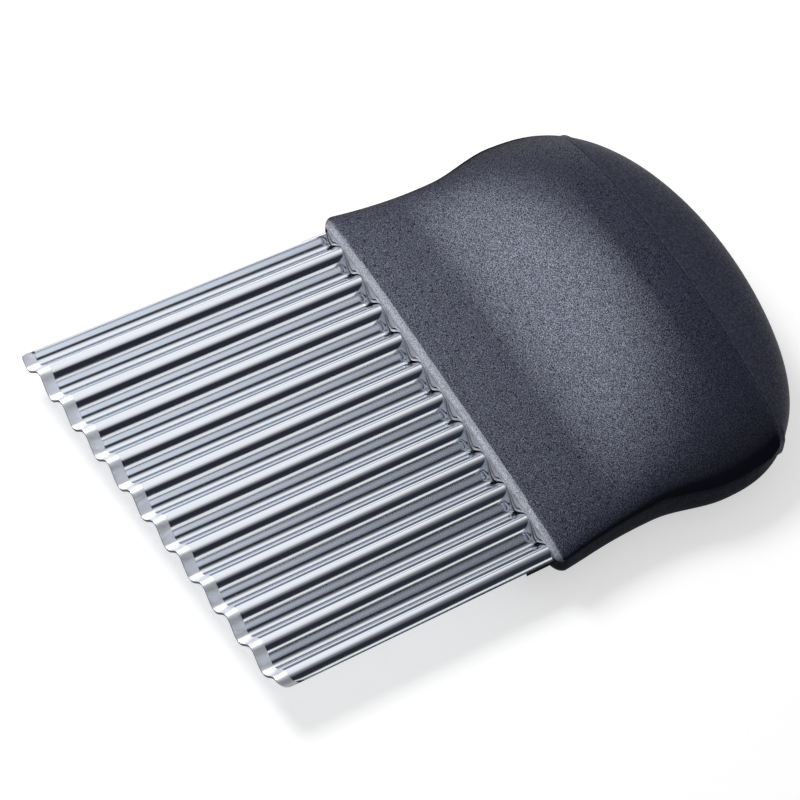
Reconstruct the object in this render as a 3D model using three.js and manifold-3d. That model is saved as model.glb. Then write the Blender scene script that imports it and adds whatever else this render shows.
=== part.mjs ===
// Crinkle cutter: a corrugated stainless blade held by its flat tang in a short, wide palm handle.
// Millimetres, +Z up. X runs across the blade, Y from the cutting edge at -Y to the palm at +Y.
// The rim of the handle is at Y = 0, and the flat sole that the cutter rests on is at Z = 0.
import * as THREE from 'three';
import { mergeVertices } from 'three/addons/utils/BufferGeometryUtils.js';
import Module from 'manifold-3d';

const wasm = await Module();
wasm.setup();

// Blade: the exposed sheet
const BLADE_WIDTH = 75; // across the waves, at the cutting edge
const RIM_WIDTH = 73; // the waves draw together slightly towards the rim
const BLADE_REACH = 55.7; // rim to cutting edge on the long side, at -X
const EDGE_SLANT = 6.7; // how much shorter the blade is at +X
const SHEET = 0.6;
const WAVE_COUNT = 11;
const WAVE_HEIGHT = 2.75; // crest to valley, on the middle of the sheet
const CREST_INSET = 1.55; // last crest to the side of the blade at +X
const BEVEL_WIDTH = 2; // ground band along the cutting edge
const EDGE_THICKNESS = 0.3;

// Blade: the tang inside the handle
const WAVE_GRIP = 1.6; // the full wave runs this far inside the rim
const RUN_OUT = 2.4; // length over which the valleys then rise to the flat tang
const SHOULDER_DEPTH = 4.8; // full-width sheet inside the rim
const TANG_WIDTH = 58;
const TANG_DEPTH = 22;
const TANG_PIN_SPACING = 21;
const TANG_PIN_EDGE = 3.5; // pin axis to the tang's rear edge

// Handle: plan outline, as half-widths and places along Y
const HANDLE_LENGTH = 54.8; // rim to palm
const EAR_HALF = 38.2; // front corners
const EAR_RADIUS = 1.7;
const WAIST_HALF = 36.3;
const WAIST_AT = 19.4; // from the rim
const SHOULDER_HALF = 38.3;
const SHOULDER_BACK = 23.2; // from the palm
const PALM_FULLNESS = 2.46; // 2 is an ellipse, more is squarer

// Handle: heights from the parting plane, and section fullness
const SOLE_DROP = 8; // parting plane to the sole
const LIP_RISE = 2.2; // top of the rim above the parting plane
const LIP_RADIUS = 1.1;
const CROWN_RISE = 10.1;
const CROWN_BACK = 18.3; // highest section, from the palm
const REAR_FULLNESS = 3.2; // how bluntly the top falls to the palm, 2 is an ellipse
const RAMP_RISE = 3; // part of the climb that is an even ramp from the rim to the crown
const RISE_FROM = 12; // the rest of the climb starts here, from the rim
const EAR_DROP = 4.9; // underside of the rim below the parting plane
const NOSE_LENGTH = 7; // underside curves down to the sole over this length
const SOLE_BACK = 12.1; // rear end of the sole's full depth, from the palm
const SOLE_SHAVE = 0.4; // belly cut off flat to make the sole
const RIM_FULLNESS = 3.35;
const CROWN_FULLNESS = 2;
const SOLE_FULLNESS = 4;

// Handle: shells, cap and pins
const WALL = 2.6;
const TOP_CAVITY_FROM = 20;
const SOLE_CAVITY_FROM = 7;
const UNDER_LIP_REACH = 4.4; // lip of the lower shell under the blade, in front of the rim
const UNDER_LIP_THICKNESS = 1.6;
const CAP_LENGTH = 11.7;
const TONGUE_WIDTH = 50;
const TONGUE_REACH = 8;
const TONGUE_THICKNESS = 5;
const CAP_PIN_SPACING = 32;
const PIN_DIAMETER = 3;
const PIN_GRIP = 1.5; // length of a pin in the upper shell's boss
const PIN_SEAT = 4; // length of a pin in the lower shell's boss
const BOSS_DIAMETER = 7.4;
const CLEARANCE = 0.2;

// How finely curves are divided
const STEPS_PER_WAVE = 8;
const RUN_OUT_STEPS = 3;
const ARC_STEPS = 24;
const EAR_STEPS = 4;
const GRIP_STEPS = 11;
const CAP_STEPS = 8;
const PIN_SIDES = 24;

// Places worked out from the sizes
const partingZ = SOLE_DROP; // the tang lies on the parting plane
const tangMiddleZ = partingZ + SHEET / 2;
const sheetGap = SHEET / 2 + CLEARANCE; // middle of the sheet to the plastic round it
const pitch = BLADE_WIDTH / WAVE_COUNT;
const runOutEndY = WAVE_GRIP + RUN_OUT; // the sheet is flat from here
const lastCrestX = BLADE_WIDTH / 2 - CREST_INSET;
const creaseY = HANDLE_LENGTH - CAP_LENGTH; // joint between the shells and the palm cap
const shoulderY = HANDLE_LENGTH - SHOULDER_BACK;
const crownY = HANDLE_LENGTH - CROWN_BACK;
const soleEndY = HANDLE_LENGTH - SOLE_BACK;
const tangPinY = TANG_DEPTH - TANG_PIN_EDGE;
const capPinY = creaseY - TONGUE_REACH / 2;
const tangPinXs = [-TANG_PIN_SPACING, 0, TANG_PIN_SPACING];
const capPinXs = [-CAP_PIN_SPACING / 2, CAP_PIN_SPACING / 2];
const pastEnd = HANDLE_LENGTH; // cutters run this far past what they cut

const { clamp, lerp, smoothstep } = THREE.MathUtils;

function spread(from, to, steps) {
  return [...Array(steps + 1).keys()].map((i) => lerp(from, to, i / steps));
}

// Solids

function solidOf(geometry) {
  const bare = geometry.clone();
  bare.deleteAttribute('normal');
  bare.deleteAttribute('uv');
  const merged = mergeVertices(bare);
  const corners = [];
  for (let i = 0; i < merged.index.count; i += 3) {
    const [a, b, c] = [0, 1, 2].map((k) => merged.index.getX(i + k));
    if (a !== b && b !== c && c !== a) corners.push(a, b, c);
  }
  const vertProperties = new Float32Array(merged.attributes.position.array);
  const build = (order) => {
    const triVerts = new Uint32Array(order);
    return new wasm.Manifold(new wasm.Mesh({ numProp: 3, vertProperties, triVerts }));
  };
  const solid = build(corners);
  return solid.volume() > 0 ? solid : build(corners.reverse());
}

function geometryOf(solid) {
  const { vertProperties, triVerts, numProp } = solid.getMesh();
  const positions = [];
  for (let i = 0; i < vertProperties.length; i += numProp) {
    positions.push(vertProperties[i], vertProperties[i + 1], vertProperties[i + 2]);
  }
  const geometry = new THREE.BufferGeometry();
  geometry.setAttribute('position', new THREE.Float32BufferAttribute(positions, 3));
  geometry.setIndex([...triVerts]);
  geometry.computeVertexNormals();
  return geometry;
}

// A solid skinned over closed rings of points, with a flat fan over its first and last ring
function loft(rings) {
  const count = rings[0].length;
  const index = [];
  for (let r = 0; r + 1 < rings.length; r += 1) {
    for (let i = 0; i < count; i += 1) {
      const a = r * count + i;
      const b = r * count + ((i + 1) % count);
      index.push(a, b, b + count, a, b + count, a + count);
    }
  }
  const last = (rings.length - 1) * count;
  for (let i = 1; i + 1 < count; i += 1) {
    index.push(0, i + 1, i, last, last + i, last + i + 1);
  }
  const geometry = new THREE.BufferGeometry().setFromPoints(rings.flat());
  geometry.setIndex(index);
  return solidOf(geometry);
}

function box(minX, maxX, minY, maxY, minZ, maxZ) {
  const geometry = new THREE.BoxGeometry(maxX - minX, maxY - minY, maxZ - minZ);
  geometry.translate((minX + maxX) / 2, (minY + maxY) / 2, (minZ + maxZ) / 2);
  return solidOf(geometry);
}

function uprightCylinder(diameter, x, y, minZ, maxZ) {
  const geometry = new THREE.CylinderGeometry(diameter / 2, diameter / 2, maxZ - minZ, PIN_SIDES);
  geometry.rotateX(Math.PI / 2);
  geometry.translate(x, y, (minZ + maxZ) / 2);
  return solidOf(geometry);
}

// Blade

// A point on the sheet, offset along its normal from the middle of its thickness
function sheetPoint(x, y, offset) {
  const phase = (2 * Math.PI * (x - lastCrestX)) / pitch;
  const formed = 1 - smoothstep(y, WAVE_GRIP, runOutEndY);
  const depth = (WAVE_HEIGHT / 2) * formed;
  const level = tangMiddleZ - depth + depth * Math.cos(phase);
  const tilt = Math.atan(((2 * Math.PI * depth) / pitch) * Math.sin(phase));
  const drawnIn = lerp(RIM_WIDTH, BLADE_WIDTH, clamp(-y / BLADE_REACH, 0, 1)) / BLADE_WIDTH;
  return new THREE.Vector3((x + offset * Math.sin(tilt)) * drawnIn, y, level + offset * Math.cos(tilt));
}

const waveXs = spread(-BLADE_WIDTH / 2, BLADE_WIDTH / 2, WAVE_COUNT * STEPS_PER_WAVE);
const runOutYs = spread(WAVE_GRIP, runOutEndY, RUN_OUT_STEPS);

function bladeSheet() {
  const edgeY = (x) => -BLADE_REACH + EDGE_SLANT * (x / BLADE_WIDTH + 0.5);
  const straightRows = [0, ...runOutYs, TANG_DEPTH].map((y) => () => y);
  const rows = [edgeY, (x) => edgeY(x) + BEVEL_WIDTH, ...straightRows];
  return stripSolid(rows.map((rowY) => {
    const upper = rowY === edgeY ? EDGE_THICKNESS - SHEET / 2 : SHEET / 2;
    const top = waveXs.map((x) => sheetPoint(x, rowY(x), upper));
    const underside = waveXs.map((x) => sheetPoint(x, rowY(x), -SHEET / 2));
    return { top, underside };
  }));
}

// A sheet between an upper and a lower grid of points, closed all round its edge
function stripSolid(rows) {
  const across = rows[0].top.length;
  const index = [];
  const at = (r, i, layer) => (r * 2 + layer) * across + i;
  const quad = (a, b, c, d) => index.push(a, b, c, a, c, d);
  for (let r = 0; r + 1 < rows.length; r += 1) {
    for (let i = 0; i + 1 < across; i += 1) {
      quad(at(r, i, 0), at(r, i + 1, 0), at(r + 1, i + 1, 0), at(r + 1, i, 0));
      quad(at(r, i, 1), at(r + 1, i, 1), at(r + 1, i + 1, 1), at(r, i + 1, 1));
    }
    quad(at(r, 0, 1), at(r, 0, 0), at(r + 1, 0, 0), at(r + 1, 0, 1));
    quad(at(r, across - 1, 0), at(r, across - 1, 1), at(r + 1, across - 1, 1), at(r + 1, across - 1, 0));
  }
  const end = rows.length - 1;
  for (let i = 0; i + 1 < across; i += 1) {
    quad(at(0, i, 1), at(0, i + 1, 1), at(0, i + 1, 0), at(0, i, 0));
    quad(at(end, i, 0), at(end, i + 1, 0), at(end, i + 1, 1), at(end, i, 1));
  }
  const geometry = new THREE.BufferGeometry();
  geometry.setFromPoints(rows.flatMap(({ top, underside }) => [...top, ...underside]));
  geometry.setIndex(index);
  return solidOf(geometry);
}

function bladeSolid() {
  let blade = bladeSheet();
  for (const side of [-1, 1]) {
    const [minX, maxX] = [side * (TANG_WIDTH / 2), side * BLADE_WIDTH].sort((a, b) => a - b);
    blade = blade.subtract(box(minX, maxX, SHOULDER_DEPTH, pastEnd, 0, pastEnd));
  }
  for (const x of tangPinXs) {
    blade = blade.subtract(uprightCylinder(PIN_DIAMETER + 2 * CLEARANCE, x, tangPinY, 0, pastEnd));
  }
  return blade;
}

// Handle outline

function roundedOff(y, radius) {
  return y < radius ? radius - Math.sqrt(radius ** 2 - (radius - y) ** 2) : 0;
}

function halfWidth(y) {
  if (y < WAIST_AT) {
    const forward = clamp((WAIST_AT - y) / (WAIST_AT - EAR_RADIUS), 0, 1);
    return lerp(WAIST_HALF, EAR_HALF, forward ** 2) - roundedOff(y, EAR_RADIUS);
  }
  if (y < shoulderY) return lerp(WAIST_HALF, SHOULDER_HALF, smoothstep(y, WAIST_AT, shoulderY));
  const back = (y - shoulderY) / SHOULDER_BACK;
  return SHOULDER_HALF * Math.max(0, 1 - back ** PALM_FULLNESS) ** (1 / PALM_FULLNESS);
}

function topRise(y) {
  const ramp = RAMP_RISE * clamp(y / crownY, 0, 1);
  const climb = lerp(LIP_RISE, CROWN_RISE - RAMP_RISE, smoothstep(y, RISE_FROM, crownY)) + ramp;
  const back = Math.max(0, (y - crownY) / CROWN_BACK);
  const fall = Math.max(0, 1 - back ** REAR_FULLNESS) ** (1 / REAR_FULLNESS);
  return climb * fall - roundedOff(y, LIP_RADIUS);
}

function soleDrop(y) {
  const nose = Math.max(0, 1 - y / NOSE_LENGTH);
  const drop = lerp(EAR_DROP, SOLE_DROP + SOLE_SHAVE, Math.sqrt(1 - nose ** 2));
  const back = Math.max(0, (y - soleEndY) / SOLE_BACK);
  return drop * Math.sqrt(Math.max(0, 1 - back ** 2));
}

function topFullness(y) {
  return lerp(RIM_FULLNESS, CROWN_FULLNESS, smoothstep(y, RISE_FROM, crownY));
}

// Half of the handle's section at y, above (side 1) or below (side -1) the parting plane, drawn in by
// inset. A section that cuts a cavity reaches past the parting plane by overlap.
function halfSection(y, side, inset, overlap) {
  const half = halfWidth(y) - inset;
  const rise = Math.max(0, (side > 0 ? topRise(y) : soleDrop(y)) - inset);
  const fullness = side > 0 ? topFullness(y) : SOLE_FULLNESS;
  const section = [];
  if (overlap > 0) section.push(new THREE.Vector3(half, y, partingZ - side * overlap));
  for (let i = 0; i <= ARC_STEPS; i += 1) {
    const angle = (Math.PI * i) / ARC_STEPS;
    const across = i === ARC_STEPS / 2 ? 0 : Math.cos(angle);
    const up = i === ARC_STEPS ? 0 : Math.sin(angle);
    const x = half * Math.sign(across) * Math.abs(across) ** (2 / fullness);
    const z = partingZ + side * rise * up ** (2 / fullness);
    section.push(new THREE.Vector3(x, y, Math.max(z, inset)));
  }
  if (overlap > 0) section.push(new THREE.Vector3(-half, y, partingZ - side * overlap));
  return section;
}

function gripBody(side) {
  const quarter = spread(0, Math.PI / 2, EAR_STEPS);
  const ears = quarter.map((angle) => EAR_RADIUS * (1 - Math.cos(angle)));
  const stations = [...ears, ...spread(EAR_RADIUS, creaseY, GRIP_STEPS).slice(1)];
  return loft(stations.map((y) => halfSection(y, side, 0, 0)));
}

function gripCavity(side, from) {
  const stations = [...spread(from, creaseY, GRIP_STEPS), creaseY + CAP_LENGTH / 2];
  const sections = stations.map((y) => halfSection(Math.min(y, creaseY), side, WALL, WALL));
  sections.at(-1).forEach((point) => point.setY(stations.at(-1)));
  return loft(sections);
}

// Shells

// A shell keeps a solid column in its hollow around each pin, from the pin's seat out to the wall
function hollowShell(side, cavityFrom, tongueFaceZ) {
  let cavity = gripCavity(side, cavityFrom);
  const keepColumn = (x, y, seatZ) => {
    const [minZ, maxZ] = side > 0 ? [seatZ, pastEnd] : [-pastEnd, seatZ];
    cavity = cavity.subtract(uprightCylinder(BOSS_DIAMETER, x, y, minZ, maxZ));
  };
  for (const x of tangPinXs) keepColumn(x, tangPinY, partingZ);
  for (const x of capPinXs) keepColumn(x, capPinY, tongueFaceZ);
  return gripBody(side).subtract(cavity);
}

function pinHole(x, y, minZ, maxZ) {
  return uprightCylinder(PIN_DIAMETER + 2 * CLEARANCE, x, y, minZ, maxZ);
}

function topShellSolid() {
  const tongueTopZ = partingZ + TONGUE_THICKNESS / 2;
  let shell = hollowShell(1, TOP_CAVITY_FROM, tongueTopZ);
  const slotTop = partingZ + SHEET + CLEARANCE;
  const slots = [
    [RIM_WIDTH / 2 + CLEARANCE, SHOULDER_DEPTH + CLEARANCE],
    [TANG_WIDTH / 2 + CLEARANCE, TANG_DEPTH + CLEARANCE],
  ];
  for (const [half, depth] of slots) shell = shell.subtract(box(-half, half, -WALL, depth, 0, slotTop));
  const tangPinTop = partingZ + SHEET + PIN_GRIP + CLEARANCE;
  const capPinTop = tongueTopZ + PIN_GRIP + CLEARANCE;
  shell = shell.add(rimComb(slotTop + CLEARANCE));
  for (const x of tangPinXs) shell = shell.subtract(pinHole(x, tangPinY, 0, tangPinTop));
  for (const x of capPinXs) shell = shell.subtract(pinHole(x, capPinY, 0, capPinTop));
  return shell;
}

// Comb of the upper shell that fills the blade's valleys at the rim
function rimComb(topZ) {
  const rows = [0, WAVE_GRIP].map((y) => {
    const underside = waveXs.map((x) => sheetPoint(x, y, sheetGap));
    const top = underside.map((point) => point.clone().setZ(topZ));
    return { top, underside };
  });
  return stripSolid(rows).intersect(gripBody(1).add(gripBody(-1)));
}

// Lip of the lower shell that runs forward under the blade; the bed gives it its wavy upper face
function underLip() {
  const rows = [-UNDER_LIP_REACH, 0, WAVE_GRIP].map((y) => {
    const top = waveXs.map((x) => sheetPoint(x, y, 0));
    const underside = waveXs.map((x) => sheetPoint(x, y, -sheetGap));
    for (const point of underside) point.z -= UNDER_LIP_THICKNESS;
    return { top, underside };
  });
  return stripSolid(rows);
}

// Room for the waves of the blade, cut into the lower shell
function wavyBed() {
  const wide = BLADE_WIDTH / 2 + 2 * sheetGap;
  const bedXs = [-wide, ...waveXs, wide];
  const rows = [-2 * UNDER_LIP_REACH, 0, ...runOutYs, SHOULDER_DEPTH + CLEARANCE].map((y) => {
    const underside = bedXs.map((x) => sheetPoint(x, y, -sheetGap));
    const top = underside.map((point) => point.clone().setZ(partingZ + SHEET));
    return { top, underside };
  });
  return stripSolid(rows);
}

function bottomShellSolid() {
  const tongueUndersideZ = partingZ - TONGUE_THICKNESS / 2;
  let shell = hollowShell(-1, SOLE_CAVITY_FROM, tongueUndersideZ).add(underLip()).subtract(wavyBed());
  for (const x of tangPinXs) shell = shell.subtract(pinHole(x, tangPinY, partingZ - PIN_SEAT, pastEnd));
  for (const x of capPinXs) {
    shell = shell.subtract(pinHole(x, capPinY, tongueUndersideZ - PIN_SEAT, pastEnd));
  }
  return shell;
}

// Palm cap

function palmCapSolid() {
  const stations = spread(0, Math.PI / 2, CAP_STEPS).map((angle) => creaseY + CAP_LENGTH * Math.sin(angle));
  const half = (side) => loft(stations.map((y) => halfSection(y, side, 0, 0)));
  const tongueRootY = creaseY + CAP_LENGTH / 2;
  const tongue = box(
    -TONGUE_WIDTH / 2,
    TONGUE_WIDTH / 2,
    creaseY - TONGUE_REACH,
    tongueRootY,
    partingZ - TONGUE_THICKNESS / 2,
    partingZ + TONGUE_THICKNESS / 2,
  );
  let cap = half(1).add(half(-1)).add(tongue);
  for (const x of capPinXs) cap = cap.subtract(pinHole(x, capPinY, 0, pastEnd));
  return cap;
}

// Materials and pieces

const satinSteel = new THREE.MeshStandardMaterial({ color: 0xc9ccd2, roughness: 0.25, metalness: 1 });
const dowelSteel = new THREE.MeshStandardMaterial({ color: 0x9a9ca0, roughness: 0.4, metalness: 1 });
const texturedPlastic = new THREE.MeshStandardMaterial({ color: 0x35363c, roughness: 0.6, metalness: 0 });
const softRubber = new THREE.MeshStandardMaterial({ color: 0x2a2b31, roughness: 0.5, metalness: 0 });

const cutter = new THREE.Group();
cutter.position.y = (BLADE_REACH - HANDLE_LENGTH) / 2; // origin under the middle of the whole length

function addPiece(name, solid, material) {
  const piece = new THREE.Mesh(geometryOf(solid), material.clone());
  piece.name = name;
  cutter.add(piece);
}

addPiece('blade', bladeSolid(), satinSteel);
addPiece('handle_top_shell', topShellSolid(), texturedPlastic);
addPiece('handle_bottom_shell', bottomShellSolid(), texturedPlastic);
addPiece('palm_cap', palmCapSolid(), softRubber);
tangPinXs.forEach((x, i) => {
  const pin = uprightCylinder(PIN_DIAMETER, x, tangPinY, partingZ - PIN_SEAT, partingZ + SHEET + PIN_GRIP);
  addPiece(`tang_pin_${i + 1}`, pin, dowelSteel);
});
capPinXs.forEach((x, i) => {
  const reach = TONGUE_THICKNESS / 2;
  const pin = uprightCylinder(PIN_DIAMETER, x, capPinY, partingZ - reach - PIN_SEAT, partingZ + reach + PIN_GRIP);
  addPiece(`cap_pin_${i + 1}`, pin, dowelSteel);
});

export default cutter;
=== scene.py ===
# %% [markdown]
# Dressing a crinkle cutter
#
# A crinkle cutter is a corrugated steel blade in a short, wide palm handle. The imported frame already
# holds every piece in its place and at its size. This lesson builds the visible surfaces around it: first
# the camera and the light, then the blade, the handle's two shells and the palm cap, with their finishes.

# %% Load the frame
import math

import bmesh
import bpy
from mathutils import Matrix, Vector


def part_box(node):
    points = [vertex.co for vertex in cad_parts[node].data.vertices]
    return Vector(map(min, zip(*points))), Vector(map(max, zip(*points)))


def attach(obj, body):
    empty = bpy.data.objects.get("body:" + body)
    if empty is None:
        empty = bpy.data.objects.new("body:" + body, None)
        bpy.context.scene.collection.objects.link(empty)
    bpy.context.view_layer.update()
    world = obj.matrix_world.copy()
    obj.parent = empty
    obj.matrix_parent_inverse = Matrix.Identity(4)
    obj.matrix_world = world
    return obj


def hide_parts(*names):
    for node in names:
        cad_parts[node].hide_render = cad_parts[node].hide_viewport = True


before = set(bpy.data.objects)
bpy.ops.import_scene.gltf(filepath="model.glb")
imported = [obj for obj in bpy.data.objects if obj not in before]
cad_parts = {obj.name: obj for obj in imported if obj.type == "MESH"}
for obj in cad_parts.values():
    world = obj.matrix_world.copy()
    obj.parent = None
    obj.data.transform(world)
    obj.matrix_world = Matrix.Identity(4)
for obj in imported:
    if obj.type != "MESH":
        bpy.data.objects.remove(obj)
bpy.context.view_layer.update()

mm = 0.001
scene = bpy.context.scene
scene.view_settings.view_transform = "Standard"
print("nodes in the frame:", ", ".join(sorted(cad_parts)))

# %% [markdown]
# Measures
#
# A dressed piece has to sit where the frame's solid sits. The main places could be typed in again, but
# then they could drift from the solids. So they are read from the boxes of the frame's own nodes: the
# rim where the blade leaves the handle, the joint in front of the palm cap, and the parting plane.

# %% Places read from the frame
sheet = 0.6 * mm
blade_low, blade_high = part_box("blade")
shell_low, shell_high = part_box("handle_top_shell")
palm_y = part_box("palm_cap")[1].y
rim_y = shell_low.y
joint_y = shell_high.y
parting_z = blade_high.z - sheet
crown_rise = shell_high.z - parting_z
handle_length = palm_y - rim_y
blade_reach = rim_y - blade_low.y
print(f"handle {handle_length / mm:.1f} mm long, blade {blade_reach / mm:.1f} mm in front of the rim")

# %% [markdown]
# Camera
#
# The cutter lies flat and is seen from above its short side. A long lens keeps the blade's lines nearly
# parallel. The camera could be placed by eye, but two angles, a distance and a roll around its own axis
# are easier to read and to change.

# %% Camera
camera_azimuth = math.radians(56.54)
camera_elevation = math.radians(54.67)
camera_roll = math.radians(4.63)
camera_distance = 632.2 * mm
camera_aim = Vector((-1.41, -5.51, 7.03)) * mm
sensor_width = 36
lens_length = 177.0

camera_data = bpy.data.cameras.new("long_lens")
camera_data.sensor_width = sensor_width
camera_data.lens = lens_length
camera = bpy.data.objects.new("long_lens", camera_data)
scene.collection.objects.link(camera)
back = Vector((
    math.sin(camera_azimuth) * math.cos(camera_elevation),
    -math.cos(camera_azimuth) * math.cos(camera_elevation),
    math.sin(camera_elevation),
))
turn = back.to_track_quat("Z", "Y").to_matrix().to_4x4() @ Matrix.Rotation(camera_roll, 4, "Z")
camera.matrix_world = Matrix.Translation(camera_aim + back * camera_distance) @ turn
scene.camera = camera
print("camera stands at", [round(x / mm) for x in camera.location], "mm")

# %% [markdown]
# Pale floor
#
# The floor is plain white paper. It could be lit until it is white, but then the cutter would be too
# bright. So to camera and mirror rays it glows a little, and the rest of its brightness comes from the
# lamps, so that it still takes the cutter's shadow.

# %% Node helpers
def new_finish(name):
    material = bpy.data.materials.new(name)
    material.use_nodes = True
    return material, material.node_tree


def new_paper(name):
    paper, tree = new_finish(name)
    tree.nodes.remove(tree.nodes["Principled BSDF"])
    return paper, tree, tree.nodes["Material Output"].inputs["Surface"]


def add_node(tree, kind, **inputs):
    node = tree.nodes.new(kind)
    for socket, value in inputs.items():
        node.inputs[socket.replace("_", " ")].default_value = value
    return node


def math_node(tree, operation, first, second):
    node = tree.nodes.new("ShaderNodeMath")
    node.operation = operation
    for socket, value in zip(node.inputs, (first, second)):
        if isinstance(value, bpy.types.NodeSocket):
            tree.links.new(value, socket)
        else:
            socket.default_value = value
    return node.outputs[0]


def seen_by_mirror_rays(tree):
    path = tree.nodes.new("ShaderNodeLightPath")
    seen = math_node(tree, "MAXIMUM", path.outputs["Is Camera Ray"], path.outputs["Is Glossy Ray"])
    return math_node(tree, "MAXIMUM", seen, path.outputs["Is Transmission Ray"])


# %% Floor
floor_reach = 3.0
floor_glow = 0.53
floor_white = (0.68, 0.68, 0.68, 1)


def on_stage(name, bm, finish):
    mesh = bpy.data.meshes.new(name)
    bm.to_mesh(mesh)
    bm.free()
    mesh.materials.append(finish)
    prop = bpy.data.objects.new(name, mesh)
    scene.collection.objects.link(prop)
    return prop


paper, tree, surface = new_paper("white_paper")
matt = add_node(tree, "ShaderNodeBsdfDiffuse", Color=floor_white)
glow = add_node(tree, "ShaderNodeEmission", Color=(1, 1, 1, 1))
both = tree.nodes.new("ShaderNodeAddShader")
strength = math_node(tree, "MULTIPLY", seen_by_mirror_rays(tree), floor_glow)
tree.links.new(strength, glow.inputs["Strength"])
tree.links.new(matt.outputs[0], both.inputs[0])
tree.links.new(glow.outputs[0], both.inputs[1])
tree.links.new(both.outputs[0], surface)

bm = bmesh.new()
bmesh.ops.create_grid(bm, x_segments=1, y_segments=1, size=floor_reach)
on_stage("floor", bm, paper)
print("floor laid at z = 0")

# %% [markdown]
# Studio light
#
# One soft box hangs over the cutter's far side and draws the broad sheen on the handle's slope. The room
# fills in the rest: it is dim for the plain light, and white for mirror rays, so that steel shows a
# white studio. More lamps could be added, but each one would also burn out the polished crests.

# %% Soft box and room
key_direction = (-0.53, -0.20, 0.82)
key_distance = 0.42
key_size = 0.15
key_brightness = 14.0
room_fill = 0.36


def soft_box(name, direction, distance, size, brightness):
    lamp = bpy.data.lights.new(name, "AREA")
    lamp.shape = "SQUARE"
    lamp.size = size
    lamp.energy = brightness * math.pi * size**2
    box = bpy.data.objects.new(name, lamp)
    away = Vector(direction).normalized()
    facing = away.to_track_quat("Z", "Y").to_matrix().to_4x4()
    box.matrix_world = Matrix.Translation(away * distance) @ facing
    box.visible_camera = False
    scene.collection.objects.link(box)


soft_box("key_box", key_direction, key_distance, key_size, key_brightness)

world = bpy.data.worlds.new("studio")
world.use_nodes = True
scene.world = world
tree = world.node_tree
background = tree.nodes["Background"]
mirror_extra = math_node(tree, "MULTIPLY", seen_by_mirror_rays(tree), 1 - room_fill)
background.inputs["Color"].default_value = (1, 1, 1, 1)
tree.links.new(math_node(tree, "ADD", mirror_extra, room_fill), background.inputs["Strength"])
print("lamps:", ", ".join(sorted(lamp.name for lamp in bpy.data.lights)))

# %% [markdown]
# Graded card
#
# Polished steel shows its surroundings more than itself. A studio therefore stands shaded cards around it:
# here a tall card on the short side, black low down with one white stripe, and white at the top. The
# slopes of the waves mirror it as crisp dark lines. The card only shows in reflections, so it casts no
# shadow. A picture could be used instead, but a colour ramp is exact and easy to change.

# %% Card helpers
def only_in_reflections(card):
    card.visible_camera = False
    card.visible_diffuse = False
    card.visible_shadow = False


def graded(tree, share, shades):
    node = tree.nodes.new("ShaderNodeValToRGB")
    tree.links.new(share, node.inputs["Fac"])
    stops = node.color_ramp.elements
    stops[0].position, stops[1].position = shades[0][0], shades[-1][0]
    for stop, level in ((stops[0], shades[0][1]), (stops[1], shades[-1][1])):
        stop.color = (level, level, level, 1)
    for position, level in shades[1:-1]:
        stops.new(position).color = (level, level, level, 1)
    return node.outputs["Color"]


def coordinates(tree, kind):
    place = tree.nodes.new("ShaderNodeTexCoord")
    split = tree.nodes.new("ShaderNodeSeparateXYZ")
    tree.links.new(place.outputs[kind], split.inputs["Vector"])
    return split.outputs


def share_between(tree, value, start, end):
    return math_node(tree, "DIVIDE", math_node(tree, "SUBTRACT", value, start), end - start)


def graded_paper(name, axis, start, end, shades):
    paper, tree, surface = new_paper(name)
    glow = tree.nodes.new("ShaderNodeEmission")
    share = share_between(tree, coordinates(tree, "Object")[axis], start, end)
    tree.links.new(graded(tree, share, shades), glow.inputs["Color"])
    tree.links.new(glow.outputs[0], surface)
    return paper


def flat_card(name, placed, finish):
    bm = bmesh.new()
    bmesh.ops.create_grid(bm, x_segments=1, y_segments=1, size=0.5)
    bmesh.ops.transform(bm, matrix=placed, verts=bm.verts)
    only_in_reflections(on_stage(name, bm, finish))


def hung_flat(low, high, height):
    return Matrix.Translation((*(low + high) / 2, height)) @ Matrix.Diagonal((*(high - low), 1, 1))


# %% Graded card
card_distance = 1.0
card_width = 3.2
card_top = 2.5
card_bearing = math.radians(21)
card_shades = [
    (0.0, 0.05), (0.113, 0.04), (0.117, 0.08), (0.1205, 0.90), (0.146, 0.90), (0.153, 0.05),
    (0.20, 0.022), (0.29, 0.028), (0.34, 0.06), (0.40, 0.30), (0.46, 0.90), (1.0, 1.0),
]

upright = Matrix.Rotation(-math.pi / 2, 4, "Y") @ Matrix.Diagonal((card_top, card_width, 1, 1))
stand = Matrix.Rotation(card_bearing, 4, "Z") @ Matrix.Translation((card_distance, 0, card_top / 2))
card_paper = graded_paper("graded_paper", "Z", 0, card_top, card_shades)
flat_card("graded_card", stand @ upright, card_paper)
print("the graded card stands", card_distance, "m away")

# %% [markdown]
# Graded flag
#
# A flag is a dark cloth that a studio hangs between a light and the object. This one hangs over the handle
# and grows denser towards the palm and the short side, so the sheen on the plastic fades out softly before
# the joint. A smaller lamp would end the sheen too, but with a hard edge. So the flag is a flat card whose
# finish goes from clear to dark cloth.

# %% Graded flag
flag_height = 0.12
flag_low, flag_high = Vector((-0.30, -0.10)), Vector((0.25, 0.35))
flag_start, flag_end = -0.108, 0.192
rear_start, rear_end = 0.042, 0.090
cloth_shade = (0.020, 0.024, 0.036, 1)
flag_shades = [
    (0.10, 0.0), (0.167, 0.01), (0.253, 0.055), (0.333, 0.12), (0.41, 0.205), (0.467, 0.37),
    (0.54, 0.60), (0.60, 0.73), (0.70, 0.854), (0.833, 0.92), (1.0, 0.95),
]

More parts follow.
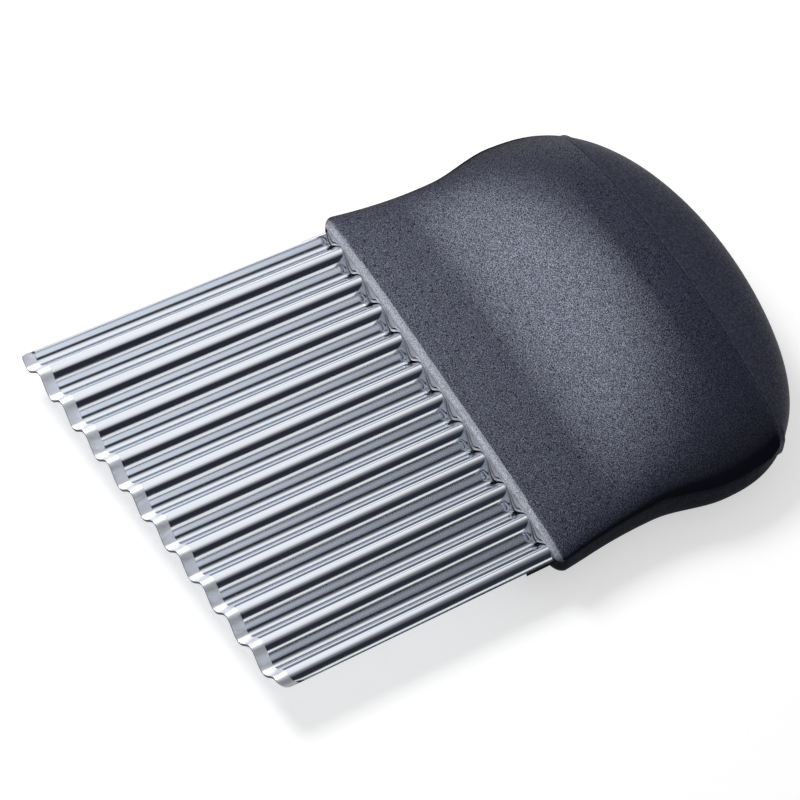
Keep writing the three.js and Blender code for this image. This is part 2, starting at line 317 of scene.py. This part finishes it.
flag_cloth, tree, surface = new_paper("flag_cloth")
clear = tree.nodes.new("ShaderNodeBsdfTransparent")
cloth = add_node(tree, "ShaderNodeEmission", Color=cloth_shade)
cover = tree.nodes.new("ShaderNodeMixShader")
place = coordinates(tree, "Object")
slanted = math_node(tree, "ADD", place["X"], place["Y"])
density = graded(tree, share_between(tree, slanted, flag_start, flag_end), flag_shades)
rear_density = share_between(tree, place["Y"], rear_start, rear_end)
tree.links.new(math_node(tree, "MAXIMUM", density, rear_density), cover.inputs["Fac"])
tree.links.new(clear.outputs[0], cover.inputs[1])
tree.links.new(cloth.outputs[0], cover.inputs[2])
tree.links.new(cover.outputs[0], surface)
flat_card("graded_flag", hung_flat(flag_low, flag_high, flag_height), flag_cloth)
print("the flag hangs", flag_height, "m above the floor")

# %% [markdown]
# Front card
#
# The narrow lip over the blade faces the front, where the room is no brighter than white paper. A glowing
# card there gives the lip its pale line, on top of the painted highlight in the lip's own finish. The card
# could be a lamp, but a lamp would light the floor as well.

# %% Front card
front_glow = 10.0
front_tone = (0.96, 0.97, 1.0, 1)
front_facing = Vector((-0.482, -0.80, 0.33)).normalized()
front_distance = 0.6
front_size = (0.5, 0.36)

front_paper, tree, surface = new_paper("glowing_paper")
glow = add_node(tree, "ShaderNodeEmission", Color=front_tone, Strength=front_glow)
tree.links.new(glow.outputs[0], surface)
turned = front_facing.to_track_quat("Z", "Y").to_matrix().to_4x4()
stand = Matrix.Translation(front_facing * front_distance) @ turned
flat_card("front_card", stand @ Matrix.Diagonal((*front_size, 1, 1)), front_paper)
print("the front card glows with", front_glow)

# %% [markdown]
# Low wall and overhead strip
#
# Seen from the back or from the side, the blade would mirror nothing but white. A low wall with dark bands
# runs round the front and the far side, and a dark strip hangs overhead, so that the waves read as steel
# from there too. The wall could be cut out of a cylinder, but bending a flat grid takes fewer steps.

# %% Low wall
wall_radius = 1.0
wall_top = 1.2
wall_from, wall_to = math.radians(-38), math.radians(-188)
wall_segments = 24
wall_shades = [
    (0.0, 0.30), (0.04, 0.10), (0.13, 0.08), (0.20, 0.30), (0.27, 0.75), (0.38, 0.90), (0.50, 0.50),
    (0.62, 0.22), (0.78, 0.45), (0.95, 0.90), (1.0, 1.0),
]

bm = bmesh.new()
bmesh.ops.create_grid(bm, x_segments=wall_segments, y_segments=1, size=0.5)
for vert in bm.verts:
    bearing = wall_from + (wall_to - wall_from) * (vert.co.x + 0.5)
    height = wall_top * (vert.co.y + 0.5)
    vert.co = (wall_radius * math.cos(bearing), wall_radius * math.sin(bearing), height)
only_in_reflections(on_stage("low_wall", bm, graded_paper("wall_paper", "Z", 0, wall_top, wall_shades)))
print("the low wall stands", wall_radius, "m away")

# %% Overhead strip
strip_height = 1.0
strip_low, strip_high = Vector((-0.25, -0.45)), Vector((0.80, 0.12))
strip_shades = [(0.0, 0.80), (0.2, 0.36), (0.55, 0.18), (1.0, 0.48)]

strip_paper = graded_paper("strip_paper", "X", strip_low.x, strip_high.x, strip_shades)
flat_card("overhead_strip", hung_flat(strip_low, strip_high, strip_height), strip_paper)
print("the strip hangs", strip_height, "m above the floor")

# %% [markdown]
# Making a piece
#
# Every surface of this cutter is a sheet that follows a formula: a wave for the blade, a rounded section
# for the handle. A box could be pulled into shape by hand, but a flat grid whose corners are moved to where
# the formula says keeps its rows of faces even, so reflections run smoothly. Solidify then gives the sheet
# its thickness.

# %% Grid to sheet to piece
crisp_angle = math.radians(35)


def laid_sheet(columns, stations, place):
    bm = bmesh.new()
    rows = len(stations) - 1
    grid = bmesh.ops.create_grid(bm, x_segments=columns, y_segments=rows, size=1)
    for vert in grid["verts"]:
        across = (vert.co.x + 1) / 2
        station = stations[round((vert.co.y + 1) / 2 * rows)]
        vert.co = place(across, station)
    bm.normal_update()
    return bm


def made_piece(name, bm, finishes, node):
    mesh = bpy.data.meshes.new(name)
    bm.to_mesh(mesh)
    bm.free()
    for finish in finishes:
        mesh.materials.append(finish)
    mesh.shade_smooth()
    mesh.set_sharp_from_angle(angle=crisp_angle)
    piece = bpy.data.objects.new(name, mesh)
    scene.collection.objects.link(piece)
    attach(piece, "root")
    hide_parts(node)
    print(name, "has", len(mesh.polygons), "faces")


def steps(start, end, count):
    return [start + (end - start) * i / count for i in range(count + 1)]


def smooth_step(value, low, high):
    share = min(max((value - low) / (high - low), 0), 1)
    return share * share * (3 - 2 * share)


# %% [markdown]
# Blade finishes
#
# The blade is stainless sheet, pressed into waves and polished. Press and polish leave very fine lines
# along it, which break the mirror a little. They could be cut into the mesh, but a noise that is stretched
# along the blade gives them more easily, as a faint relief and as a change of tone and roughness. The same
# recipe with other numbers makes the ground bevel, a darker steel for the end face at the very edge, and
# the painted reflections in each valley: a greyer band and two dark lines.

# %% Steel recipe
line_strength = 0.5
noise_middle = (0.3, 0.7)


def stretched_noise(tree, scale):
    place = tree.nodes.new("ShaderNodeTexCoord")
    stretch = add_node(tree, "ShaderNodeMapping", Scale=scale)
    noise = add_node(tree, "ShaderNodeTexNoise", Scale=1.0)
    tree.links.new(place.outputs["Object"], stretch.inputs["Vector"])
    tree.links.new(stretch.outputs["Vector"], noise.inputs["Vector"])
    return noise.outputs["Fac"]


def ranged(tree, value, low, high, start=0.0, end=1.0):
    node = add_node(tree, "ShaderNodeMapRange", From_Min=start, From_Max=end, To_Min=low, To_Max=high)
    tree.links.new(value, node.inputs["Value"])
    return node.outputs["Result"]


def relief(tree, height, depth, strength):
    bump = add_node(tree, "ShaderNodeBump", Distance=depth)
    if isinstance(strength, bpy.types.NodeSocket):
        tree.links.new(strength, bump.inputs["Strength"])
    else:
        bump.inputs["Strength"].default_value = strength
    tree.links.new(height, bump.inputs["Height"])
    return bump.outputs["Normal"]


def blended(tree, share, first, second):
    mix = tree.nodes.new("ShaderNodeMix")
    mix.data_type = "RGBA"
    mix.inputs["A"].default_value = (*first, 1)
    mix.inputs["B"].default_value = (*second, 1)
    tree.links.new(share, mix.inputs["Factor"])
    return mix.outputs["Result"]


def steel_finish(name, pale, dark, smoothest, roughest, line_depth, scale):
    material, tree = new_finish(name)
    surface = tree.nodes["Principled BSDF"]
    surface.inputs["Metallic"].default_value = 1.0
    lines = stretched_noise(tree, scale)
    tree.links.new(blended(tree, lines, dark, pale), surface.inputs["Base Color"])
    tree.links.new(ranged(tree, lines, smoothest, roughest, *noise_middle), surface.inputs["Roughness"])
    tree.links.new(relief(tree, lines, line_depth, line_strength), surface.inputs["Normal"])
    return material


# %% Steel of each face
wave_lines = (5000, 40, 5000)
bevel_lines = (6000, 300, 6000)
dark_edge_grain = (4000, 4000, 4000)

polished_steel = steel_finish(
    "polished_steel", (0.90, 0.94, 1.0), (0.74, 0.78, 0.85), 0.05, 0.09, 0.002 * mm, wave_lines
)
ground_steel = steel_finish(
    "ground_steel", (0.80, 0.82, 0.87), (0.66, 0.68, 0.73), 0.44, 0.58, 0.004 * mm, bevel_lines
)
# a darker steel for the end face at the very edge
dark_edge_steel = steel_finish(
    "dark_edge_steel", (0.05, 0.053, 0.06), (0.015, 0.016, 0.018), 0.40, 0.60, 0.004 * mm, dark_edge_grain
)
# painted reflection: dark steel for the two lines in each valley
painted_dark_line_steel = steel_finish(
    "painted_dark_line_steel", (0.13, 0.135, 0.15), (0.02, 0.022, 0.026), 0.12, 0.20, 0.003 * mm, wave_lines
)
# painted reflection: greyer steel for the band in each valley
painted_grey_band_steel = steel_finish(
    "painted_grey_band_steel", (0.66, 0.70, 0.76), (0.46, 0.50, 0.56), 0.09, 0.15, 0.003 * mm, wave_lines
)
blade_finishes = [polished_steel, ground_steel, dark_edge_steel, painted_dark_line_steel, painted_grey_band_steel]
print("blade finishes:", ", ".join(finish.name for finish in blade_finishes))

# %% [markdown]
# Blade
#
# The sheet is a sine wave across, a trace deeper on the long side, and the full wave runs into the handle.
# A flat sheet could be bent by a modifier, but the formula sets the undersides of the crests exactly on the
# parting plane. The cutting edge runs at a slant and is ground on its upper side: there the upper skin
# sinks towards the lower one. In each valley a greyer band with two dark lines is painted reflection,
# standing in for what the valley mirrors, so those faces get finishes of their own.

# %% Blade sizes
blade_width = 75.0 * mm
rim_width = 73.0 * mm
edge_slant = 6.7 * mm
wave_count = 11
wave_height = 2.75 * mm
crest_inset = 1.55 * mm
wave_lean = 0.0008 / mm
# where in each wave the painted dark reflection lines and the painted grey band lie
painted_line_phases = [(0.555, 0.597), (0.632, 0.668)]
painted_band_phases = (0.545, 0.680)
bevel_width = 2.0 * mm
edge_thickness = 0.38 * mm
gripped = 1.4 * mm
long_corner = 0.6 * mm
short_corner = 1.5 * mm
pitch = blade_width / wave_count
print(f"wave pitch {pitch / mm:.2f} mm")


# %% Blade form
def corner_cut(x, side_x, radius):
    reach = radius - abs(side_x - x)
    return radius - math.sqrt(max(radius**2 - reach**2, 0)) if reach > 0 else 0


def cutting_edge(x):
    slanted = -blade_reach + edge_slant * (x / blade_width + 0.5)
    rounded = corner_cut(x, -blade_width / 2, long_corner) + corner_cut(x, blade_width / 2, short_corner)
    return slanted + rounded


def drawn_in(y):
    reach = min(max(-y / blade_reach, 0), 1)
    return (rim_width + (blade_width - rim_width) * reach) / blade_width


def wave_turns(x):
    return (x - blade_width / 2 + crest_inset) / pitch


def sheet_point(x, y, offset):
    phase = 2 * math.pi * wave_turns(x)
    depth = wave_height / 2 * (1 - wave_lean * x)
    level = parting_z + sheet / 2 - depth + depth * math.cos(phase)
    tilt = math.atan(2 * math.pi * depth / pitch * math.sin(phase))
    across = (x + offset * math.sin(tilt)) * drawn_in(y)
    return Vector((across, rim_y + y, level + offset * math.cos(tilt)))


def blade_point(across, station):
    x = blade_width * (across - 0.5)
    kind, value = station
    if kind == "edge":
        y = cutting_edge(x) + value
    elif kind == "body":
        y = (cutting_edge(x) + bevel_width) * (1 - value)
    else:
        y = value
    return sheet_point(x, y, sheet / 2)


columns_per_wave = 72
bevel_steps = 5
body_steps = 14
bevel_seam = 0.002
body_from = 0.02
bevel_rows = [("edge", distance) for distance in steps(0, bevel_width, bevel_steps)]
body_rows = [("body", share) for share in [bevel_seam, *steps(body_from, 1, body_steps)]]
blade_rows = bevel_rows + body_rows + [("rim", gripped)]
bm = laid_sheet(wave_count * columns_per_wave, blade_rows, blade_point)
print("the wavy sheet has", len(bm.verts), "corners")

# %% Ground bevel
bevel_margin = 1.02
ground = {}
for vert in bm.verts:
    behind_edge = vert.co.y - rim_y - cutting_edge(vert.co.x)
    if behind_edge < bevel_width * bevel_margin:
        ground[vert] = vert.normal * (sheet - edge_thickness) * max(0, 1 - behind_edge / bevel_width)
bmesh.ops.solidify(bm, geom=bm.faces[:], thickness=sheet)
for vert, sink in ground.items():
    vert.co -= sink
bm.normal_update()
print("the bevel takes", len(ground), "corners")

# %% Blade
edge_facing = -0.6


def blade_finish(face):
    if all(vert in ground for vert in face.verts):
        return ground_steel
    # the end face at the very edge gets the darker steel
    if face.normal.y < edge_facing:
        return dark_edge_steel
    middle = face.calc_center_median()
    turn = wave_turns(middle.x / drawn_in(middle.y - rim_y)) % 1
    # painted reflection: two dark lines and a greyer band stand in for what each valley mirrors
    if any(start < turn < end for start, end in painted_line_phases):
        return painted_dark_line_steel
    if painted_band_phases[0] < turn < painted_band_phases[1]:
        return painted_grey_band_steel
    return polished_steel


for face in bm.faces:
    face.material_index = blade_finishes.index(blade_finish(face))
made_piece("wavy_blade", bm, blade_finishes, "blade")

# %% [markdown]
# Handle finishes
#
# The handle is moulded plastic, dark grey with a breath of blue. Its top has the fine sparkling grain of a
# spark-eroded mould, and that grain runs out where the top rolls over into the smooth sides. Relief alone
# could give the grain, but it would look dull. So one noise drives it all: a shallow relief, a change of
# tone, and a change of gloss that makes single grains glint. The lip over the blade and the bead below it
# are painted paler, a painted highlight of the light from the front, and the palm cap and the lower shell
# are smooth.

# %% Plastic recipe
sheen_tint = (0.80, 0.84, 1.0, 1)
grain_detail = 2.0
grain_middle = (0.36, 0.64)
grain_fade = (0.22, 0.68)
glint_power = 2.0
mottle_scale = 90.0
mottle_detail = 3.0
side_dullness = 0.3


def object_noise(tree, scale, detail):
    place = tree.nodes.new("ShaderNodeTexCoord")
    noise = add_node(tree, "ShaderNodeTexNoise", Scale=scale, Detail=detail)
    tree.links.new(place.outputs["Object"], noise.inputs["Vector"])
    return noise.outputs["Fac"]


def away_from_sides(tree):
    sideways = math_node(tree, "ABSOLUTE", coordinates(tree, "Normal")["X"], 0)
    return ranged(tree, sideways, 1.0, 0.0, *grain_fade)


def plastic_finish(name, tones, roughness, grain_size, grain_depth, gloss, sparkle, faded=False):
    material, tree = new_finish(name)
    surface = tree.nodes["Principled BSDF"]
    surface.inputs["Specular Tint"].default_value = sheen_tint
    grain = object_noise(tree, 1 / grain_size, grain_detail)
    mottle = object_noise(tree, mottle_scale, mottle_detail)
    speckle = ranged(tree, grain, 0, 1, *grain_middle)
    sheen = ranged(tree, mottle, *roughness, *noise_middle)
    spark = math_node(tree, "POWER", speckle, glint_power)
    glint = ranged(tree, spark, gloss * (1 - sparkle), gloss * (1 + 2 * sparkle))
    strength = 1.0
    if faded:
        strength = away_from_sides(tree)
        speckle = math_node(tree, "MULTIPLY", speckle, strength)
        glint = math_node(tree, "MULTIPLY", glint, strength)
        sheen = math_node(tree, "ADD", sheen, ranged(tree, strength, side_dullness, 0.0))
    tree.links.new(blended(tree, speckle, *tones), surface.inputs["Base Color"])
    tree.links.new(sheen, surface.inputs["Roughness"])
    tree.links.new(glint, surface.inputs["Specular IOR Level"])
    tree.links.new(relief(tree, grain, grain_depth, strength), surface.inputs["Normal"])
    return material


# %% Plastic of each face
grained_plastic = plastic_finish(
    "grained_plastic", [(0.008, 0.009, 0.015), (0.035, 0.038, 0.072)], (0.28, 0.33),
    grain_size=0.145 * mm, grain_depth=0.06 * mm, gloss=0.69, sparkle=0.98, faded=True,
)
# painted highlight: a paler copy of the grained plastic for the lip's front-facing faces
painted_highlight_lip_plastic = plastic_finish(
    "painted_highlight_lip_plastic", [(0.10, 0.105, 0.12), (0.24, 0.25, 0.27)], (0.34, 0.40),
    grain_size=0.20 * mm, grain_depth=0.04 * mm, gloss=0.5, sparkle=0.4, faded=True,
)
# painted light: a paler copy of the plastic for the rim bead and the strip under the lip, as if lit from
# the front
painted_lit_rim_plastic = plastic_finish(
    "painted_lit_rim_plastic", [(0.26, 0.27, 0.29), (0.42, 0.43, 0.46)], (0.34, 0.40),
    grain_size=0.20 * mm, grain_depth=0.04 * mm, gloss=0.5, sparkle=0.4,
)
smooth_plastic = plastic_finish(
    "smooth_plastic", [(0.010, 0.012, 0.019), (0.015, 0.018, 0.027)], (0.50, 0.60),
    grain_size=0.5 * mm, grain_depth=0.004 * mm, gloss=0.02, sparkle=0.2,
)
cap_smooth = plastic_finish(
    "cap_smooth", [(0.022, 0.024, 0.040), (0.044, 0.046, 0.072)], (0.50, 0.60),
    grain_size=0.40 * mm, grain_depth=0.02 * mm, gloss=0.17, sparkle=0.30,
)
handle_finishes = [grained_plastic, painted_highlight_lip_plastic, painted_lit_rim_plastic, smooth_plastic, cap_smooth]
print("handle finishes:", ", ".join(finish.name for finish in handle_finishes))

# %% [markdown]
# Handle outline
#
# Seen from above, the handle starts at two rounded ears beside the blade, draws in to a waist and swells
# to the shoulders before the round palm. Seen from the side, the top lies low behind the rim, climbs in an
# S to the crown and falls away to the palm. Both lines could be drawn as curves, but short formulas are
# smooth by themselves and take their ends from the frame.

# %% Handle sizes
ear_half = 38.2 * mm
ear_radius = 1.7 * mm
waist_half = 36.3 * mm
waist_at = 19.4 * mm
shoulder_half = 38.3 * mm
shoulder_back = 23.2 * mm
palm_fullness = 2.46
lip_rise = 2.2 * mm
lip_radius = 1.1 * mm
lip_fullness = 1.35
crown_back = 18.3 * mm
rear_fullness = 3.2
ramp_rise = 3.0 * mm
rise_from = 12.0 * mm
ear_drop = 4.9 * mm
nose_length = 7.0 * mm
sole_back = 12.1 * mm
sole_shave = 0.4 * mm
rim_fullness = 3.35
crown_fullness = 2.0
sole_fullness = 4.0

joint_at = joint_y - rim_y
shoulder_at = handle_length - shoulder_back
crown_at = handle_length - crown_back
sole_end = handle_length - sole_back
print(f"waist {2 * waist_half / mm:.1f} mm, crown {(parting_z + crown_rise) / mm:.1f} mm above the sole")


# %% Handle outline
def rounded_off(distance, radius, fullness=2.0):
    if distance >= radius:
        return 0
    return radius * (1 - (1 - min(1 - distance / radius, 1) ** fullness) ** (1 / fullness))


def half_width(y):
    if y < waist_at:
        forward = min(max((waist_at - y) / (waist_at - ear_radius), 0), 1)
        return waist_half + (ear_half - waist_half) * forward**2 - rounded_off(y, ear_radius)
    if y < shoulder_at:
        return waist_half + (shoulder_half - waist_half) * smooth_step(y, waist_at, shoulder_at)
    behind = (y - shoulder_at) / shoulder_back
    return shoulder_half * max(0, 1 - behind**palm_fullness) ** (1 / palm_fullness)


def top_rise(y):
    ramp = ramp_rise * min(max(y / crown_at, 0), 1)
    climb = lip_rise + ramp + (crown_rise - ramp_rise - lip_rise) * smooth_step(y, rise_from, crown_at)
    behind = max(0, (y - crown_at) / crown_back)
    fall = max(0, 1 - behind**rear_fullness) ** (1 / rear_fullness)
    return climb * fall - rounded_off(y, lip_radius, lip_fullness)


def sole_drop(y):
    nose = max(0, 1 - y / nose_length)
    drop = ear_drop + (parting_z + sole_shave - ear_drop) * math.sqrt(1 - nose**2)
    behind = max(0, (y - sole_end) / sole_back)
    return drop * math.sqrt(max(0, 1 - behind**2))


print(f"at the rim the top rises {top_rise(0) / mm:.1f} mm and the nose drops {sole_drop(0) / mm:.1f} mm")

# %% [markdown]
# Handle sections
#
# Each slice across the handle is an oval. It could be drawn as an ellipse, but the real handle is squarer.
# A superellipse has one more number, its fullness, which goes from nearly square at the rim to a plain
# ellipse at the crown.

# %% Handle sections
def section_point(angle, y, inset):
    fullness = sole_fullness
    height = sole_drop(y)
    if math.sin(angle) >= 0:
        fullness = rim_fullness + (crown_fullness - rim_fullness) * smooth_step(y, rise_from, crown_at)
        height = top_rise(y)
    across = math.copysign(abs(math.cos(angle)) ** (2 / fullness), math.cos(angle))
    up = math.copysign(abs(math.sin(angle)) ** (2 / fullness), math.sin(angle))
    x = max(half_width(y) - inset, 0) * across
    z = parting_z + max(height - inset, 0) * up
    return Vector((x, rim_y + y, max(z, 0)))


def quarter(radius, count=6):
    return [radius * (1 - math.cos(angle)) for angle in steps(0, math.pi / 2, count)]


print(f"the joint section is {2 * half_width(joint_at) / mm:.1f} mm wide")

# %% [markdown]
# Upper shell
#
# The upper shell is a thin moulded skin with a rounded lip over the blade, and is open below. Its wall
# could be modelled as a second surface, but Solidify gives the same wall in one step. Its rear edge is
# rounded over, so that the joint to the palm cap shows as a fine groove. Faces that look sideways are
# smooth, and the lip's faces that look to the front get a paler finish: a painted highlight.

# %% Upper shell
wall = 1.1 * mm
joint_radius = 0.25 * mm
smooth_from = 0.93
painted_highlight_from = -0.42
half_columns = 128
lip_steps, ear_steps, top_steps = 8, 12, 70

past_lip = 1.1 * lip_radius
ear_rows = [y for y in quarter(ear_radius, ear_steps) if y > past_lip]
front_rows = quarter(lip_radius, lip_steps) + ear_rows
rear_rows = [joint_at - distance for distance in reversed(quarter(joint_radius))]
top_rows = front_rows + steps(ear_radius, joint_at - joint_radius, top_steps)[1:-1] + rear_rows
shell_finishes = [grained_plastic, smooth_plastic, painted_highlight_lip_plastic]


def top_point(across, y):
    return section_point(math.pi * (1 - across), y, rounded_off(joint_at - y, joint_radius))


def shell_finish(face):
    if abs(face.normal.x) > smooth_from:
        return smooth_plastic
    # lip faces that look to the front get the painted highlight
    return painted_highlight_lip_plastic if face.normal.y < painted_highlight_from else grained_plastic


bm = laid_sheet(half_columns, top_rows, top_point)
for face in bm.faces:
    face.material_index = shell_finishes.index(shell_finish(face))
bmesh.ops.solidify(bm, geom=bm.faces[:], thickness=wall)
made_piece("upper_shell", bm, shell_finishes, "handle_top_shell")

# %% [markdown]
# Lower shell
#
# The lower shell is the tray under the parting line, with a flat sole. It could be the upper shell turned
# over, but its outline differs, so the same sheet method makes it from its own rows.

# %% Lower shell
nose_steps, tray_steps = 10, 60
nose_rows = quarter(ear_radius, nose_steps)
bottom_rows = nose_rows + steps(ear_radius, joint_at - joint_radius, tray_steps)[1:-1] + rear_rows


def bottom_point(across, y):
    return section_point(-math.pi * across, y, rounded_off(joint_at - y, joint_radius))


bm = laid_sheet(half_columns, bottom_rows, bottom_point)
bmesh.ops.solidify(bm, geom=bm.faces[:], thickness=wall)
made_piece("lower_shell", bm, [smooth_plastic], "handle_bottom_shell")

# %% [markdown]
# Rim faces
#
# At the rim the blade goes into the handle with its full wave. The upper shell has a comb that fills the
# valleys from above: a flat strip under the lip, a rounded bead along the blade, and a dark groove behind
# the bead. The lower shell closes the waves from below. Each strip could be cut out of a solid, but as a
# sheet one edge simply follows the handle's outline and the other one the blade, with a hair of a gap.

# %% Rim sizes
rim_gap = 0.06 * mm
face_depth = 0.3 * mm
bead_height = 1.25 * mm
bead_share = 0.6
bead_reach = 0.30 * mm
bead_groove = 0.12 * mm
bead_from, bead_to = 0.26, 0.74
rim_columns = wave_count * 24
groove_steps, bead_steps, face_steps = 2, 6, 3


def outline_height(x, rise, fullness):
    share = min(abs(x) / half_width(0), 1)
    return rise * (1 - share**fullness) ** (1 / fullness)


def rows_of(kind, start, end, count):
    return [(kind, share) for share in steps(start, end, count)]


print(f"the bead is {bead_height / mm:.2f} mm tall, with {rim_columns} columns along the rim")


# %% Rim faces
def upper_face_point(across, station):
    kind, share = station
    foot = sheet_point(blade_width * (across - 0.5), 0, sheet / 2 + rim_gap)
    lip = parting_z + outline_height(foot.x, top_rise(0), rim_fullness)
    tall = max(lip - foot.z, 0)
    bead = min(bead_height, bead_share * tall)
    if kind == "groove":
        return Vector((foot.x, rim_y + bead_groove, foot.z + bead * share))
    if kind == "bead":
        bulge = bead_reach * bead / bead_height * math.sin(math.pi * share)
        return Vector((foot.x, rim_y + bead_groove - bulge, foot.z + bead * share))
    return Vector((foot.x, rim_y, foot.z + bead + (tall - bead) * share))


def lower_face_point(across, share):
    head = sheet_point(blade_width * (across - 0.5), 0, -sheet / 2 - rim_gap)
    sole = parting_z - outline_height(head.x, sole_drop(0), sole_fullness)
    return Vector((head.x, rim_y, sole + (max(head.z, sole) - sole) * share))


def rim_face(name, rows, place, finish, node):
    bm = laid_sheet(rim_columns, rows, place)
    bmesh.ops.solidify(bm, geom=bm.faces[:], thickness=face_depth)
    made_piece(name, bm, [finish], node)


groove_rows = rows_of("groove", 0, 1, groove_steps)
bead_rows = rows_of("bead", bead_from, bead_to, bead_steps)
face_rows = rows_of("face", 0, 1, face_steps)
lower_rows = steps(0, 1, face_steps)
rim_face("rim_groove", groove_rows, upper_face_point, smooth_plastic, "handle_top_shell")
# the bead and the face strip get the paler plastic with painted light
rim_face("rim_bead", bead_rows, upper_face_point, painted_lit_rim_plastic, "handle_top_shell")
rim_face("upper_rim_face", face_rows, upper_face_point, painted_lit_rim_plastic, "handle_top_shell")
rim_face("lower_rim_face", lower_rows, lower_face_point, smooth_plastic, "handle_bottom_shell")

# %% [markdown]
# Lip under the blade
#
# A thin lip of the lower shell runs forward under the blade and follows its waves, so that the sheet can't
# buckle where it enters the handle. A plain bar would leave gaps under the crests. So it is the blade's own
# formula again, laid a hair below the sheet, and extruded straight down, because a mould opens that way.

# %% Lip under the blade
lip_gap = 0.2 * mm
under_lip = 1.6 * mm
under_lip_reach = 4.4 * mm
under_lip_tuck = 0.5 * mm
under_lip_columns = wave_count * 16
under_lip_rows = steps(-under_lip_reach, under_lip_tuck, 3)


def under_point(across, y):
    return sheet_point(blade_width * (across - 0.5), y, -sheet / 2 - lip_gap)


bm = laid_sheet(under_lip_columns, under_lip_rows, under_point)
made = bmesh.ops.extrude_face_region(bm, geom=bm.faces[:])
lowered = [item for item in made["geom"] if isinstance(item, bmesh.types.BMVert)]
bmesh.ops.translate(bm, verts=lowered, vec=(0, 0, -under_lip))
bmesh.ops.recalc_face_normals(bm, faces=bm.faces[:])
made_piece("lip_under_blade", bm, [smooth_plastic], "handle_bottom_shell")

# %% [markdown]
# Palm cap
#
# The smooth cap closes the rear of the handle and fills the palm. It could be a squashed sphere, but then
# its outline would break at the joint. So its sections are the handle's own, all the way round, and shrink
# to a point at the back. The sheet is rolled into a ring, so its two edges and the rear point are merged
# before it gets its wall.

# %% Palm cap
joint_gap = 0.05 * mm
cap_radius = 0.12 * mm
merge_reach = 0.002 * mm
cap_steps = 40

cap_start = joint_at + joint_gap
cap_rows = [cap_start + distance for distance in quarter(cap_radius)]
cap_reach = handle_length - cap_rows[-1]
cap_angles = steps(0, math.pi / 2, cap_steps)[1:]
cap_rows += [cap_rows[-1] + cap_reach * math.sin(angle) for angle in cap_angles]


def cap_point(across, y):
    return section_point(math.pi * (1 - 2 * across), y, rounded_off(y - cap_start, cap_radius))


bm = laid_sheet(2 * half_columns, cap_rows, cap_point)
bmesh.ops.remove_doubles(bm, verts=bm.verts[:], dist=merge_reach)
bmesh.ops.recalc_face_normals(bm, faces=bm.faces[:])
bmesh.ops.solidify(bm, geom=bm.faces[:], thickness=wall)
made_piece("smooth_palm_cap", bm, [cap_smooth], "palm_cap")

# %% [markdown]
# Dowels
#
# Five steel dowels are hidden in the handle. They could be modelled again, but their solids already have
# the right shape, so the frame's own nodes stay and only get a ground-steel finish.

# %% Dowels
dowel_lines = (4000, 4000, 300)

dowel_steel = steel_finish(
    "dowel_steel", (0.60, 0.61, 0.63), (0.50, 0.51, 0.53), 0.25, 0.40, 0.003 * mm, dowel_lines
)
dowels = [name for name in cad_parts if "_pin_" in name]
for name in dowels:
    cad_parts[name].data.materials.clear()
    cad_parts[name].data.materials.append(dowel_steel)
print("dowels finished:", len(dowels))
